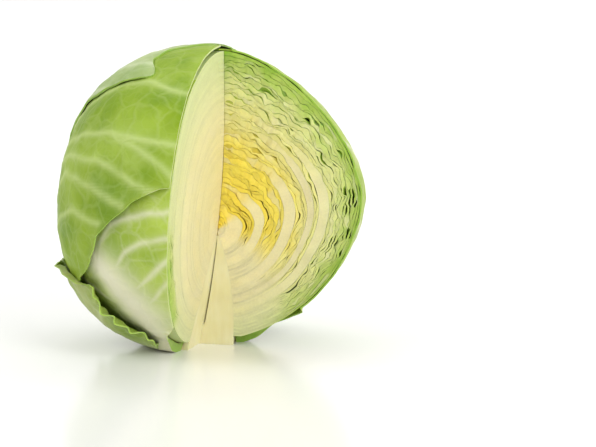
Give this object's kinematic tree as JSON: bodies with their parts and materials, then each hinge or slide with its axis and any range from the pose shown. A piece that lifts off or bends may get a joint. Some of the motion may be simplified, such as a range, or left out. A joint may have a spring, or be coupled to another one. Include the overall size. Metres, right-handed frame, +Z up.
{
  "type": "cabbage head",
  "caption": "Round head of white cabbage with one quarter cut out, showing the stalk and the layered leaves, wrapped in loose green outer leaves.",
  "frame": {"origin": "on the flat foot of the head, under the stalk, 4 mm inside the corner of the cut", "axes": "+Z up along the head; the missing quarter is at +X and -Y; the head bends over a little towards +X"},
  "size_m": [0.1743, 0.1745, 0.172],
  "materials": {
    "stalk": "satin",
    "heart_leaf": "satin",
    "yellow_leaf": "satin",
    "pale_leaf": "satin",
    "wrapper_leaf": "satin"
  },
  "bodies": {
    "root": {"stalk": "stalk", "head_leaf_01": "heart_leaf", "head_leaf_02": "heart_leaf", "head_leaf_03": "heart_leaf", "head_leaf_04": "heart_leaf", "head_leaf_05": "heart_leaf", "head_leaf_06": "heart_leaf", "head_leaf_07": "heart_leaf", "head_leaf_08": "heart_leaf", "head_leaf_09": "heart_leaf", "head_leaf_10": "heart_leaf", "head_leaf_11": "yellow_leaf", "head_leaf_12": "yellow_leaf", "head_leaf_13": "yellow_leaf", "head_leaf_14": "yellow_leaf", "head_leaf_15": "yellow_leaf", "head_leaf_16": "yellow_leaf", "head_leaf_17": "yellow_leaf", "head_leaf_18": "yellow_leaf", "head_leaf_19": "yellow_leaf", "head_leaf_20": "yellow_leaf", "head_leaf_21": "pale_leaf", "head_leaf_22": "pale_leaf", "head_leaf_23": "pale_leaf", "head_leaf_24": "pale_leaf", "head_leaf_25": "pale_leaf", "head_leaf_26": "pale_leaf", "head_leaf_27": "pale_leaf", "head_leaf_28": "pale_leaf", "wrapper_front_low": "wrapper_leaf", "wrapper_crown": "wrapper_leaf", "wrapper_front_high": "wrapper_leaf", "wrapper_back": "wrapper_leaf", "wrapper_front_middle": "wrapper_leaf", "wrapper_right": "wrapper_leaf"}
  },
  "joints": []
}
